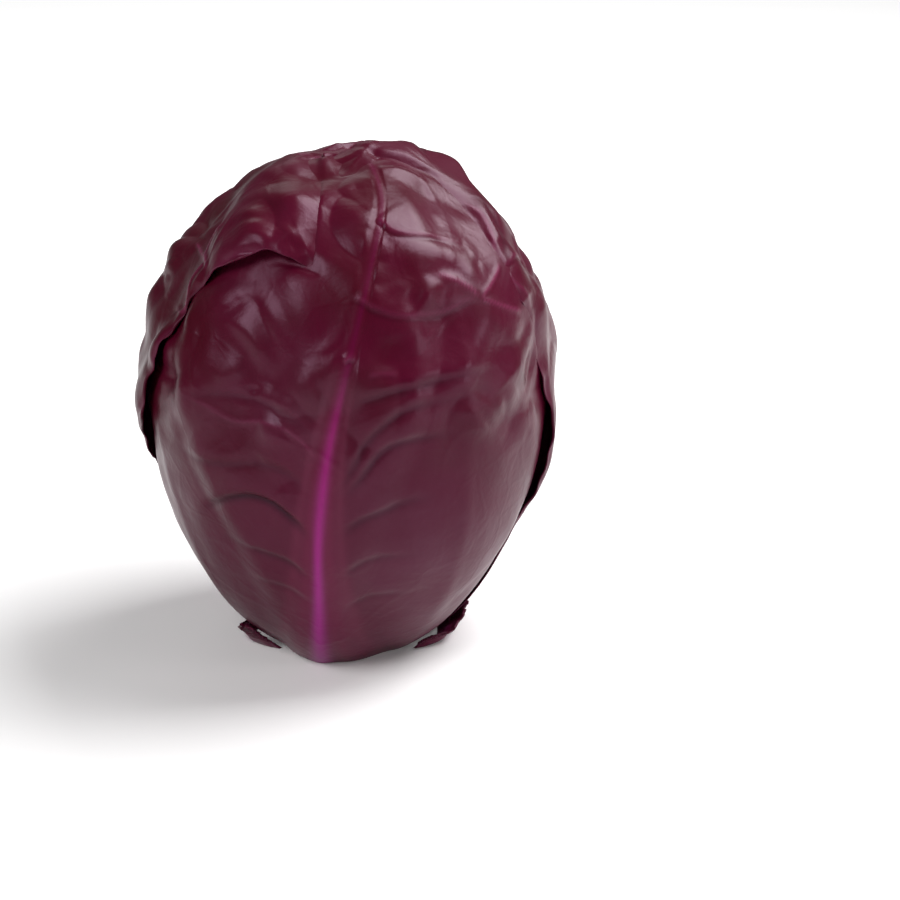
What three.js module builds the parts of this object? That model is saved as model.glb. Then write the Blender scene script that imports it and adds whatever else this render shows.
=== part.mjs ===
// A head of red cabbage as it is sold: six broad wrapper leaves folded over one another round the
// tight ball of the inner leaves, on a short stalk cut off flat. The head stands on that cut.
// Millimetres and degrees. +Z is up, the origin is the middle of the stalk's cut, and the midrib of the
// front leaf faces -Y. Azimuth is 0 at -Y and grows towards +X; elevation is seen from the widest ring.
import * as THREE from "three";

// Driving dimensions of the head.
const HEAD_WIDTH = 146;
const RING_HEIGHT = 98; // height of the widest ring above the cut
const CROWN_RISE = 79; // from that ring up to the crown
const FOOT_DROP = 103.5; // how deep the lower half would reach if it weren't cut
const CROWN_POWER = 2.2; // 2 is a plain ellipse, and more makes the shoulders fuller
const FOOT_POWER = 2.1;

// Leaves.
const BLADE = 1.0; // thickness of a blade
const AIR = 1.3; // gap between a blade and the leaf that lies on it
const LEAF_DEPTH = 4; // how far the innermost wrapper lies under the head's outline
const FOOT_AIR = 0.6; // the same gap at the foot, where the leaves are packed on the stalk
const FOOT_DEPTH = 2; // and the same depth there
const OVERLAP_BAND = 20; // a leaf starts to rise this far before the margin of the leaf under it
const OVERLAP_LEAD = 6; // and is fully up this far before it
const MARGIN_RAGGED = 1.6; // how far the margin wanders in and out
const MEAN_RADIUS = 85; // turns an angle on the head into millimetres
const BASE_SLIDE = 0.3; // share of a leaf's length over which its base is slid onto the cut

// Midrib: a low broad mound with a keel on it, thick at the foot and fine at the crown.
const RIB_FOOT = { height: 3.0, mound: 13, keel: 2.6 };
const RIB_TIP = { height: 0.7, mound: 3, keel: 1.2 };
const RIB_TAPER = 2; // power by which it thins towards the tip
const RIB_SHOWS_THROUGH = 1.9; // how much broader a rib looks through the leaf that covers it

// Side ribs.
const SIDE_RIBS = 7; // pairs on a leaf
const SIDE_RIB_HEIGHT = 1.5;
const SIDE_RIB_HALF_WIDTH = 3.6;
const SIDE_RIB_BEND = 0.24; // they leave the midrib steeply and then turn outwards
const FIRST_SIDE_RIB = 0.13; // shares of the midrib's length
const LAST_SIDE_RIB = 0.86;

// Fineness of the meshes: columns on half a blade, and rows where they don't follow the side ribs.
const OUTER = { columns: 10, slide: BASE_SLIDE };
const INNER = { columns: 8, rows: 18, slide: BASE_SLIDE };
const STUB = { columns: 4, rows: 4, slide: 2 };

// Stalk.
const STALK_RADIUS = 13;
const CROWN_OF_STALK_RADIUS = 29; // it widens quickly to where the leaves grow on it
const STALK_HEIGHT = 13;
const CORE_FLOOR = 13.8; // the inner leaves start just above the stalk

const PLUM = new THREE.MeshStandardMaterial({ color: 0x4a1428, roughness: 0.38, metalness: 0 });
const PALE = new THREE.MeshStandardMaterial({ color: 0xcdb9bf, roughness: 0.6, metalness: 0 });

// Small maths.
const { degToRad, smoothstep, lerp, clamp } = THREE.MathUtils;
const CENTRE = new THREE.Vector3(0, 0, RING_HEIGHT);
const HALF_WIDTH = HEAD_WIDTH / 2;

function direction(azimuth, elevation) {
  const a = degToRad(azimuth);
  const e = degToRad(elevation);
  return new THREE.Vector3(Math.sin(a) * Math.cos(e), -Math.cos(a) * Math.cos(e), Math.sin(e));
}

function slerp(from, to, share) {
  const angle = from.angleTo(to);
  if (angle < 1e-6) return from.clone();
  const a = Math.sin((1 - share) * angle) / Math.sin(angle);
  const b = Math.sin(share * angle) / Math.sin(angle);
  return from.clone().multiplyScalar(a).addScaledVector(to, b);
}

// The outline of the whole head, as a distance from its centre: half an ellipse with full shoulders above
// the widest ring, and below it a deeper one that is drawn in.
function outline(d) {
  const [reach, power] = d.z > 0 ? [CROWN_RISE, CROWN_POWER] : [FOOT_DROP, FOOT_POWER];
  const level = Math.pow(Math.hypot(d.x, d.y) / HALF_WIDTH, power);
  return Math.pow(level + Math.pow(Math.abs(d.z) / reach, power), -1 / power) + lobes(d);
}

// No head is quite round: broad places that stand out or fall in.
const LOBES = [
  { place: [-86, 40], reach: 24, height: -6.5 },
  { place: [92, 38], reach: 24, height: -3.4 },
  { place: [150, 10], reach: 40, height: 1.5 },
  { place: [-90, -32], reach: 20, height: 2.5 },
];

function lobes(d) {
  return LOBES.reduce((sum, { place, reach, height }) => {
    const away = direction(...place).angleTo(d) / degToRad(reach);
    return sum + height * Math.exp(-away * away);
  }, 0);
}

// Broad flats and swellings that every layer shares: three-way waves across the head.
const SWELLS = [
  { across: [4.1, 1.7, -2.3], phase: 0.4, size: 0.8 },
  { across: [-2.6, 4.6, 1.9], phase: 2.1, size: 0.7 },
  { across: [1.4, -3.1, 5.2], phase: 1.2, size: 0.7 },
  { across: [6.7, 3.9, 4.4], phase: 3.3, size: 0.25 },
  { across: [-5.2, 6.1, -5.8], phase: 5.0, size: 0.2 },
];

function swell(d) {
  return SWELLS.reduce((sum, { across: [x, y, z], phase, size }) => {
    return sum + size * Math.sin(x * d.x + y * d.y + z * d.z + phase);
  }, 0);
}

// 0 on most of the head and 1 round its foot.
function footness(d) {
  return smoothstep(-d.z, 0.78, 0.93);
}

// A leaf is given at stations from its base to its tip. Each station holds the azimuth and elevation of
// the left margin, the midrib and the right margin. A row of the leaf runs along a side rib.
class Leaf {
  constructor({ name, stations, lifts = [], ribs = 1, kind = OUTER }) {
    Object.assign(this, { name, lifts, ribs, kind });
    const curve = (column) =>
      new THREE.CatmullRomCurve3(stations.map((s) => direction(...s[column])), false, "centripetal");
    [this.left, this.midrib, this.right] = [0, 1, 2].map(curve);
    this.under = []; // leaves that this one lies on
    this.over = []; // leaves that lie on this one
    this.spine = this.sample(this.midrib, 40);
    this.makeOutlinePolygon();
  }

  sample(curve, steps) {
    return Array.from({ length: steps + 1 }, (_, i) => curve.getPoint(i / steps).normalize());
  }

  // The direction of a point of the leaf: t runs from base to tip along the midrib, and s from the
  // midrib, 0, to the margin, -1 on the left and 1 on the right. The row is two blended arcs.
  at(t, s) {
    const start = this.midrib.getPoint(t).normalize();
    const edge = (s < 0 ? this.left : this.right).getPoint(t).normalize();
    const along = this.midrib.getTangent(clamp(t, 0.01, 0.99));
    const bend = SIDE_RIB_BEND * smoothstep(t, 0, 0.25) * (1 - 0.6 * smoothstep(t, 0.7, 1));
    const turn = slerp(start, edge, 0.45);
    turn.addScaledVector(along, bend * start.angleTo(edge)).normalize();
    const share = Math.abs(s);
    return slerp(slerp(start, turn, share), slerp(turn, edge, share), share).normalize();
  }

  // The outline as a flat polygon round the leaf's middle, in millimetres of arc.
  makeOutlinePolygon() {
    const steps = [...Array(24).keys()].map((i) => i / 24);
    const ring = [
      ...steps.map((u) => this.at(u, 1)),
      ...steps.map((u) => this.at(1, 1 - 2 * u)),
      ...steps.map((u) => this.at(1 - u, -1)),
      ...steps.map((u) => this.at(0, 2 * u - 1)),
    ];
    this.middle = this.at(0.5, 0);
    this.across = new THREE.Vector3().crossVectors(this.midrib.getTangent(0.5), this.middle).normalize();
    this.upwards = new THREE.Vector3().crossVectors(this.middle, this.across).normalize();
    this.polygon = ring.map((d) => this.flatten(d));
  }

  flatten(d) {
    const angle = this.middle.angleTo(d);
    const flat = new THREE.Vector2(d.dot(this.across), d.dot(this.upwards));
    return flat.setLength(angle * MEAN_RADIUS);
  }

  // How far inside the leaf's margin a direction lies, in millimetres; below 0 outside it.
  inside(d) {
    const p = this.flatten(d);
    let nearest = Infinity;
    let within = false;
    this.polygon.forEach((a, i) => {
      const b = this.polygon[(i + 1) % this.polygon.length];
      const edge = b.clone().sub(a);
      const reach = clamp(p.clone().sub(a).dot(edge) / Math.max(edge.lengthSq(), 1e-9), 0, 1);
      nearest = Math.min(nearest, a.clone().addScaledVector(edge, reach).distanceTo(p));
      const crosses = a.y > p.y !== b.y > p.y;
      if (crosses && p.x < a.x + ((p.y - a.y) / (b.y - a.y)) * edge.x) within = !within;
    });
    return within ? nearest : -nearest;
  }

  // 1 on the leaf and 0 well outside it, with a smooth step round its margin.
  presence(d) {
    return smoothstep(this.inside(d), -OVERLAP_BAND, -OVERLAP_LEAD);
  }

  // The midrib's height over the blade at a distance from its line. broad spreads it.
  ribHeight(t, distance, broad = 1) {
    const share = Math.pow(1 - t, RIB_TAPER);
    const height = lerp(RIB_TIP.height, RIB_FOOT.height, share) * this.ribs;
    const mound = lerp(RIB_TIP.mound, RIB_FOOT.mound, share) * broad;
    const keel = lerp(RIB_TIP.keel, RIB_FOOT.keel, share) * broad;
    const low = Math.exp(-Math.pow(distance / mound, 2));
    const crest = Math.exp(-Math.pow(distance / keel, 2));
    return height * (0.55 * low + 0.45 * crest);
  }

  // The midrib as it shows through the leaf on top of it, at any direction.
  ribShowingThrough(d) {
    let best = { angle: Infinity, t: 0 };
    this.spine.forEach((point, i) => {
      const angle = point.angleTo(d);
      if (angle < best.angle) best = { angle, t: i / (this.spine.length - 1) };
    });
    return this.ribHeight(best.t, best.angle * MEAN_RADIUS, RIB_SHOWS_THROUGH);
  }

  // Where the leaf's inner face lies along a direction: on the leaves under it, plus its own lift.
  innerFace(d) {
    const air = lerp(AIR, FOOT_AIR, footness(d));
    const pile = this.under.reduce((sum, leaf) => {
      const here = leaf.presence(d);
      return here > 0 ? sum + here * (BLADE + air + leaf.ribShowingThrough(d)) : sum;
    }, 0);
    return outline(d) + swell(d) - lerp(LEAF_DEPTH, FOOT_DEPTH, footness(d)) + pile + this.lift(d);
  }

  covered(d) {
    return this.over.reduce((most, leaf) => Math.max(most, leaf.presence(d)), 0);
  }

  // Where a loose margin stands off the head: each lift is a bump round a place on the margin.
  lift(d) {
    const off = this.lifts.reduce((sum, { place, reach, height }) => {
      const away = direction(...place).angleTo(d) / degToRad(reach);
      return sum + height * Math.exp(-away * away);
    }, 0);
    if (off === 0) return 0;
    const fromMargin = this.inside(d);
    const rolled = 1 - 0.35 * Math.exp(-Math.max(fromMargin, 0) / 3);
    return off * rolled * (1 - smoothstep(fromMargin, 4, 22)) * (1 - this.covered(d));
  }

  // Side ribs: the blade rises gently towards each rib from the tip's side, and drops on the base's side.
  sideRibHeight(t, s, toNext) {
    const share = Math.abs(s);
    const places = sideRibPlaces();
    const height = places.reduce((most, place) => {
      const across = ((t - place) * toNext) / SIDE_RIB_HALF_WIDTH;
      const slope = across > 0 ? Math.exp(-across / 2.2) : Math.exp(-across * across * 2);
      return Math.max(most, slope);
    }, 0);
    const starts = smoothstep(share, 0.02, 0.14);
    const fades = 1 - 0.75 * smoothstep(share, 0.3, 1);
    return SIDE_RIB_HEIGHT * this.ribs * height * starts * fades;
  }
}

function sideRibPlaces() {
  const step = (LAST_SIDE_RIB - FIRST_SIDE_RIB) / (SIDE_RIBS - 1);
  return Array.from({ length: SIDE_RIBS }, (_, i) => FIRST_SIDE_RIB + i * step);
}

// Rows of the mesh: on an outer leaf four to each side rib and the two ends, on any other even ones.
function rowPlaces(leaf) {
  const { rows } = leaf.kind;
  if (rows) return Array.from({ length: rows + 1 }, (_, i) => i / rows);
  const flank = 0.022;
  const places = sideRibPlaces().flatMap((t) => [t - flank, t, t + flank, t + 3 * flank]);
  return [0, 0.05, ...places, 0.96, 1];
}

// Columns of the mesh: two hold the midrib's keel and mound, and the others share the blade.
function columnShares(leaf, t) {
  const { columns } = leaf.kind;
  const share = Math.pow(1 - t, RIB_TAPER);
  const halves = [-1, 1].map((side) => {
    const width = leaf.at(t, 0).angleTo(leaf.at(t, side)) * MEAN_RADIUS;
    const keel = Math.min(lerp(RIB_TIP.keel, RIB_FOOT.keel, share) / width, 0.12);
    const mound = Math.min(lerp(RIB_TIP.mound, RIB_FOOT.mound, share) / width, 0.34);
    const blade = Array.from({ length: columns }, (_, i) => mound + ((1 - mound) * (i + 1)) / columns);
    return [keel, mound, ...blade].map((s) => s * side);
  });
  return [...halves[0].reverse(), 0, ...halves[1]];
}

// A margin wanders in and out a little: two waves along it, none at the foot.
function ragged(t, side) {
  const wave = Math.sin(31 * t + side) + 0.6 * Math.sin(67 * t + 2.3 * side);
  return (MARGIN_RAGGED / MEAN_RADIUS) * wave * smoothstep(t, 0.04, 0.15);
}

// How far from straight down a face of the leaf meets the cut, below a given direction.
function cutAngle(d, face) {
  let [low, high] = [2, 40];
  for (let i = 0; i < 24; i++) {
    const half = (low + high) / 2;
    const below = face(swing(d, half)) * Math.cos(degToRad(half)) > RING_HEIGHT;
    [low, high] = below ? [half, high] : [low, half];
  }
  return low;
}

// The same azimuth at an angle from straight down.
function swing(d, angle) {
  const sideways = Math.sin(degToRad(angle)) / Math.hypot(d.x, d.y);
  return new THREE.Vector3(d.x * sideways, d.y * sideways, -Math.cos(degToRad(angle)));
}

function fromStraightDown(d) {
  return THREE.MathUtils.radToDeg(Math.acos(-d.z));
}

// A point of a face. Near its base the leaf is slid up or down so that its first row lies on the cut.
function facePoint(leaf, d, t, s, face) {
  const share = 1 - smoothstep(t, 0, leaf.kind.slide);
  let there = d;
  if (share > 0) {
    const slide = cutAngle(d, face) - fromStraightDown(leaf.at(0, s));
    there = swing(d, fromStraightDown(d) + slide * share);
  }
  const point = CENTRE.clone().addScaledVector(there, face(there));
  return t === 0 ? point.setZ(0) : point;
}

function leafGeometry(leaf) {
  const rows = rowPlaces(leaf);
  const outer = [];
  const inner = [];
  rows.forEach((t) => {
    const step = 0.02;
    columnShares(leaf, t).forEach((s) => {
      const d = leaf.at(t, s * (1 + (Math.abs(s) === 1 ? ragged(t, s) : 0)));
      const toNext = (leaf.at(Math.min(t + step, 1), s).angleTo(d) * MEAN_RADIUS) / step;
      const fromRib = leaf.at(t, 0).angleTo(d) * MEAN_RADIUS;
      const pressed = 1 - 0.75 * leaf.covered(d);
      const thick = BLADE + leaf.ribHeight(t, fromRib) + leaf.sideRibHeight(t, s, toNext) * pressed;
      outer.push(facePoint(leaf, d, t, s, (v) => leaf.innerFace(v) + thick));
      inner.push(facePoint(leaf, d, t, s, (v) => leaf.innerFace(v)));
    });
  });
  return sheetGeometry(outer, inner, outer.length / rows.length);
}

// A closed blade from two grids of points, split into triangles alike on both faces.
function sheetGeometry(outer, inner, width) {
  const points = [...outer, ...inner];
  const height = outer.length / width;
  const back = outer.length;
  const faces = [];
  const at = (row, column) => row * width + column;
  for (let row = 0; row + 1 < height; row++) {
    for (let column = 0; column + 1 < width; column++) {
      const [a, b] = [at(row, column), at(row, column + 1)];
      const [c, e] = [at(row + 1, column + 1), at(row + 1, column)];
      const leftHalf = column < (width - 1) / 2;
      const split = leftHalf ? [a, b, e, b, c, e] : [a, b, c, a, c, e];
      faces.push(...split);
      for (let k = 0; k < 6; k += 3) faces.push(split[k] + back, split[k + 2] + back, split[k + 1] + back);
    }
  }
  const rim = [];
  for (let column = 0; column + 1 < width; column++) rim.push(at(0, column));
  for (let row = 0; row + 1 < height; row++) rim.push(at(row, width - 1));
  for (let column = width - 1; column > 0; column--) rim.push(at(height - 1, column));
  for (let row = height - 1; row > 0; row--) rim.push(at(row, 0));
  rim.forEach((a, i) => {
    const b = rim[(i + 1) % rim.length];
    faces.push(a, a + back, b, b, a + back, b + back);
  });
  const geometry = new THREE.BufferGeometry().setFromPoints(points);
  return geometry.setIndex(faces);
}

// The wrapper leaves, from the inside outwards. The three inner ones are alike and show at the foot,
// between the bases of the outer ones.
const ELEVATIONS = {
  midrib: [-78, -60, -42, -20, 4, 28, 50, 71, 88],
  margin: [-78, -58, -34, -6, 20, 42, 59, 72, 79],
};
const HALF_SPREADS = [47, 50, 57, 70, 78, 82, 86, 94, 104];

function innerWrapper(name, facing, spread, lean) {
  const stations = HALF_SPREADS.map((half, i) => [
    [facing - half * spread, ELEVATIONS.margin[i] - lean],
    [facing, ELEVATIONS.midrib[i]],
    [facing + half * spread, ELEVATIONS.margin[i] + lean],
  ]);
  stations[0].forEach((place) => (place[1] = ELEVATIONS.midrib[0]));
  return new Leaf({ name, stations, ribs: 0.5, kind: INNER });
}

const FRONT_LEAF = {
  name: "front_leaf",
  stations: [
    [[-56, -78], [-20, -78], [42, -78]],
    [[-67, -60], [-14, -61], [56, -60]],
    [[-84, -34], [-11, -42], [72, -34]],
    [[-93, -8], [-9, -22], [86, -6]],
    [[-97, 16], [-6, -2], [93, 18]],
    [[-101, 38], [-1, 19], [97, 40]],
    [[-108, 57], [6, 41], [103, 57]],
    [[-124, 72], [18, 63], [118, 70]],
    [[-150, 78], [70, 86], [150, 76]],
  ],
};

const BACK_LEFT_LEAF = {
  name: "back_left_leaf",
  stations: [
    [[-160, -78], [-121, -78], [-82, -78]],
    [[-176, -60], [-126, -60], [-88, -58]],
    [[-200, -38], [-131, -42], [-98, -38]],
    [[-214, -10], [-135, -20], [-86, -18]],
    [[-219, 16], [-137, 4], [-67, 4]],
    [[-222, 40], [-136, 28], [-60, 22]],
    [[-226, 58], [-132, 50], [-50, 37]],
    [[-236, 72], [-118, 70], [-30, 48]],
    [[-268, 82], [-40, 82], [-11, 44]],
  ],
  lifts: [
    { place: [-30, 47], reach: 13, height: 5.5 },
    { place: [-78, -10], reach: 15, height: 4.5 },
    { place: [-70, 9], reach: 14, height: 3.8 },
  ],
};

const BACK_RIGHT_LEAF = {
  name: "back_right_leaf",
  stations: [
    [[72, -78], [113, -78], [150, -78]],
    [[74, -58], [118, -60], [166, -60]],
    [[76, -36], [122, -42], [184, -36]],
    [[74, -12], [126, -20], [198, -8]],
    [[70, 12], [128, 4], [204, 18]],
    [[61, 32], [130, 28], [207, 40]],
    [[66, 52], [133, 50], [211, 58]],
    [[66, 67], [144, 71], [222, 72]],
    [[-10, 74], [-80, 84], [-110, 76]],
  ],
  lifts: [
    { place: [62, 36], reach: 12, height: 1.6 },
    { place: [76, -16], reach: 16, height: 2.0 },
    { place: [206, 20], reach: 18, height: 3.0 },
  ],
};

// Stubs of leaves that were trimmed away, left round the foot.
function stub(name, facing, half, top, lean) {
  const stations = [0, 1, 2, 3].map((i) => {
    const elevation = lerp(-78, top, i / 3);
    return [
      [facing - half * (1 - 0.06 * i), elevation - i],
      [facing + lean * i, elevation],
      [facing + half * (1 - 0.1 * i), elevation + i],
    ];
  });
  return new Leaf({ name, stations, ribs: 0.4, kind: STUB });
}

const leaves = [
  innerWrapper("inner_left_leaf", -65, 1, 2),
  innerWrapper("inner_back_leaf", 180, 1.04, -2),
  innerWrapper("inner_right_leaf", 33, 1, 1),
  new Leaf(FRONT_LEAF),
  new Leaf(BACK_LEFT_LEAF),
  new Leaf(BACK_RIGHT_LEAF),
  stub("right_stub", 66, 23, -69, 2),
  stub("left_stub", -72, 20, -69.5, -2),
  stub("back_stub", 176, 22, -69.5, 2),
];
leaves.forEach((leaf, i) => {
  leaf.under = leaves.slice(0, i);
  leaf.over = leaves.slice(i + 1);
});

// The ball of tight inner leaves under the wrappers, with the folded margins of its outermost leaves
// raised on it as low steps, and its underside flat over the stalk.
const CORE_AROUND = 36;
const CORE_UP = 20;
const CORE_FOLD = 1.1; // height of a folded margin
const CORE_FOLDS = 3;
const CORE_GAP = 2.2; // between the ball and the wrappers

function corePoint(azimuth, elevation) {
  const d = direction(azimuth, elevation);
  const spiral = (((azimuth + 1.4 * elevation) % (360 / CORE_FOLDS)) + 360) % (360 / CORE_FOLDS);
  const fold = CORE_FOLD * (1 - spiral / (360 / CORE_FOLDS)) * Math.cos(degToRad(elevation));
  const radius = outline(d) + swell(d) - LEAF_DEPTH - CORE_GAP - CORE_FOLD + fold;
  const toFloor = d.z < 0 ? (CORE_FLOOR - RING_HEIGHT) / d.z : Infinity;
  return CENTRE.clone().addScaledVector(d, Math.min(radius, toFloor));
}

function coreGeometry() {
  const points = [corePoint(0, -90), corePoint(0, 90)];
  const faces = [];
  const ring = (row, column) => 2 + (row - 1) * CORE_AROUND + (column % CORE_AROUND);
  for (let row = 1; row < CORE_UP; row++) {
    for (let column = 0; column < CORE_AROUND; column++) {
      points.push(corePoint((column * 360) / CORE_AROUND, -90 + (row * 180) / CORE_UP));
    }
  }
  for (let column = 0; column < CORE_AROUND; column++) {
    faces.push(0, ring(1, column + 1), ring(1, column));
    faces.push(1, ring(CORE_UP - 1, column), ring(CORE_UP - 1, column + 1));
    for (let row = 1; row + 1 < CORE_UP; row++) {
      const [a, b] = [ring(row, column), ring(row, column + 1)];
      const [c, e] = [ring(row + 1, column + 1), ring(row + 1, column)];
      faces.push(a, b, c, a, c, e);
    }
  }
  return new THREE.BufferGeometry().setFromPoints(points).setIndex(faces);
}

// The stalk: a flat cut below, a bevel, and then a cone that the leaves grow on.
function stalkGeometry() {
  const profile = [
    [0, 0],
    [STALK_RADIUS - 1, 0],
    [STALK_RADIUS, 1],
    [lerp(STALK_RADIUS, CROWN_OF_STALK_RADIUS, 0.28), 4],
    [lerp(STALK_RADIUS, CROWN_OF_STALK_RADIUS, 0.72), 8],
    [CROWN_OF_STALK_RADIUS, STALK_HEIGHT],
    [0, STALK_HEIGHT],
  ];
  const lathe = new THREE.LatheGeometry(profile.map(([r, z]) => new THREE.Vector2(r, z)), 28);
  return lathe.rotateX(Math.PI / 2);
}

function piece(name, geometry, material) {
  const mesh = new THREE.Mesh(geometry, material);
  mesh.name = name;
  return mesh;
}

const head = new THREE.Group();
head.add(piece("stalk", stalkGeometry(), PALE));
head.add(piece("inner_head", coreGeometry(), PLUM));
leaves.forEach((leaf) => head.add(piece(leaf.name, leafGeometry(leaf), PLUM)));

export default head;
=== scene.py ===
"""A head of red cabbage on a pale floor.

Every leaf is a sheet over the head. Its two faces are grids of directions from the middle of the head:
rows run from the midrib to the margins along the side ribs, and columns run from the base to the tip.
Along a direction d the inner face lies at

    outline(d) + swell(d) + crumple(d) - depth + what the leaves under it add + lift of a loose margin

and the outer face lies the blade's thickness further out, with the midrib added. The side ribs, folds,
veins and dents are added where no other leaf covers it. All leaves share one set of pillows, so a leaf
follows the one below, and a margin that is pressed down thins out and sinks onto it. A leaf under another
adds its blade, a little air and its midrib, softened, and fades out round its margin, so the upper leaf
drapes over it. The stubs at the foot are short leaves whose tops are torn.

Lengths in the formulas are millimetres, angles are degrees, and the meshes are metres. Azimuth is 0 at -Y
and grows towards +X, elevation is seen from the widest ring, and places marked as seen are points of the
900 px photograph.
"""

from functools import partial
from itertools import product

import bpy
import numpy as np
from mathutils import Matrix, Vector


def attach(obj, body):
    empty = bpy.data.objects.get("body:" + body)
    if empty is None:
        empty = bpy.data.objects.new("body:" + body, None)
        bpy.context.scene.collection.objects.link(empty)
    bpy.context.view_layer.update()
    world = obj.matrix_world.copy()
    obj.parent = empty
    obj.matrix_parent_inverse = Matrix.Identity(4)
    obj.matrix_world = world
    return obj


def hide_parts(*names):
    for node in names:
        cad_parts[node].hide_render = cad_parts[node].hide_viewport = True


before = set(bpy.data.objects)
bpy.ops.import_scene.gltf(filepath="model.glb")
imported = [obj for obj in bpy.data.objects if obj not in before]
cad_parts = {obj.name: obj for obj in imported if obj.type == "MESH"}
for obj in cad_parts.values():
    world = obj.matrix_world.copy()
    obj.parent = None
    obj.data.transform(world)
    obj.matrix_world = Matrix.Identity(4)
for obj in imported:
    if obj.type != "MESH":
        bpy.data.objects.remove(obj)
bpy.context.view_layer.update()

MM = 0.001

# The head, as in the frame.
HALF_WIDTH = 73.0
RING_HEIGHT = 98.0
CROWN = (79.0, 2.2)  # reach above the ring and power of its curve
FOOT = (103.5, 2.1)  # the same below the ring
MEAN_RADIUS = 85.0  # turns angles into millimetres on the head
FOOT_STARTS = (0.78, 0.93)  # share of straight down where the leaves begin to pack and are packed
# Soft lobes: place, reach in degrees and height.
LOBES = [((-86, 40), 24, -6.5), ((92, 38), 24, -3.4), ((150, 10), 40, 1.5), ((-90, -32), 20, 2.5)]
# Broad swells: waves across the head, phase and height.
SWELLS = [
    ((4.1, 1.7, -2.3), 0.4, 0.8),
    ((-2.6, 4.6, 1.9), 2.1, 0.7),
    ((1.4, -3.1, 5.2), 1.2, 0.7),
    ((6.7, 3.9, 4.4), 3.3, 0.25),
    ((-5.2, 6.1, -5.8), 5.0, 0.2),
]

# Leaves.
BLADE = 1.0
AIR = 1.3
LEAF_DEPTH = 4.0  # the innermost face lies this far inside the outline
FOOT_AIR = 0.6
FOOT_DEPTH = 2.0
DRAPE = (-20.0, -6.0)  # a leaf starts to rise and is fully up this far outside the margin of one under it
CLOSE = (-4.0, -0.5)  # the same where it is pressed close
UNDER_MARGIN = (0.5, 5.0)  # pillows flatten over this width under the leaf that covers them
MARGIN_THINS = (2.2, 18.0)  # the blade thins over this width to its margin, loose and pressed
MARGIN_HUGS = (5.0, 26.0)  # and lies down on the leaf below over this width
MARGIN_BLADE = (0.4, 0.1)  # share of the blade left at the margin, loose and pressed
PRESSED_DIP = 0.7  # a pressed margin dips this far into the leaf below, so that no edge stands proud
LIFT_FADES = (4.0, 22.0)  # the lift of a loose margin fades out over this width
FULLY_LOOSE = 1.2  # a margin lifted by this much no longer hugs the leaf below
HUGS_AT = 0.2  # air that is left where it does
TIP_REACH = 250.0  # from the base to the tip
TABLE_STEP = 2.0  # between the places of the table of distances to a margin
BASE_SLIDE = 0.3  # share of a leaf over which its rows slide down to meet the floor
CUT_THICKNESS = 6.0  # the cut at the floor is worked out for a face with none of this and with all of it

# Grids of the outer faces: rows, and columns on each side of the midrib. Inner faces are half as fine.
OUTER_GRID = (301, 124)
INNER_GRID = (101, 56)
STUB_GRID = (61, 32)

# Ribs.
RIB_FOOT = {"height": 3.0, "mound": 13.0, "keel": 2.6}
RIB_TIP = {"height": 0.6, "mound": 6.0, "keel": 1.6}
RIB_SHOWS_THROUGH = 1.9  # times as wide under another leaf
SIDE_RIB_BEND = 0.24  # share of a side rib's length by which it bends towards the tip
SIDE_RIB_PLACES = np.linspace(0.13, 0.86, 7)  # along the midrib

# Camera: a 90 mm lens 0.82 m from the middle of the head, 18 degrees above it.
CAMERA_DISTANCE = 819.0
CAMERA_ELEVATION = 18.0
PHOTO_PX = 900
SENSOR = 36.0
LENS = 90.0
LENS_PX = LENS * PHOTO_PX / SENSOR
MIDDLE_SEEN = (352, 375)  # where the middle of the head is seen
SKIN = 4.5  # the outer leaves lie about this far outside the outline
SEARCH = 130.0  # the skin is looked for within this distance of where a ray comes nearest to the middle
HALVINGS = 30


def unit(v):
    """Vectors divided by their lengths."""
    return v / np.maximum(np.linalg.norm(v, axis=-1, keepdims=True), 1e-12)


def lerp(a, b, share):
    """The value a share of the way from a to b."""
    return a + (b - a) * share


def smoothstep(x, low, high):
    """0 below low, 1 above high, and three squares less two cubes of the way between them."""
    share = np.clip((x - low) / (high - low), 0, 1)
    return share * share * (3 - 2 * share)


def direction(azimuth, elevation):
    """The unit vector at an azimuth and an elevation."""
    a, e = np.radians(azimuth), np.radians(elevation)
    return np.stack([np.sin(a) * np.cos(e), -np.cos(a) * np.cos(e), np.sin(e) + 0 * a], axis=-1)


def angle_between(a, b):
    """The angle whose tangent is the cross product's length over the dot product."""
    return np.arctan2(np.linalg.norm(np.cross(a, b), axis=-1), (a * b).sum(-1))


def slerp(a, b, share):
    """The direction a share of the way along the arc from a to b."""
    angle = np.maximum(angle_between(a, b), 1e-7)
    from_a = np.sin((1 - share) * angle) / np.sin(angle)
    from_b = np.sin(share * angle) / np.sin(angle)
    return a * from_a[..., None] + b * from_b[..., None]


def outline(d):
    """A round body whose side is a superellipse, one above the ring and one below, with soft lobes."""
    up = d[..., 2] > 0
    reach, power = np.where(up, CROWN[0], FOOT[0]), np.where(up, CROWN[1], FOOT[1])
    level = (np.hypot(d[..., 0], d[..., 1]) / HALF_WIDTH) ** power
    radius = (level + (np.abs(d[..., 2]) / reach) ** power) ** (-1 / power)
    for place, reach_of_lobe, height in LOBES:
        away = angle_between(direction(*place), d) / np.radians(reach_of_lobe)
        radius = radius + height * np.exp(-away * away)
    return radius


def swell(d):
    """A sum of broad sine waves across the head."""
    return sum(size * np.sin(d @ np.array(across) + phase) for across, phase, size in SWELLS)


def footness(d):
    """0 on most of the head and 1 round its foot, where the leaves are packed on the stalk."""
    return smoothstep(-d[..., 2], *FOOT_STARTS)


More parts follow.
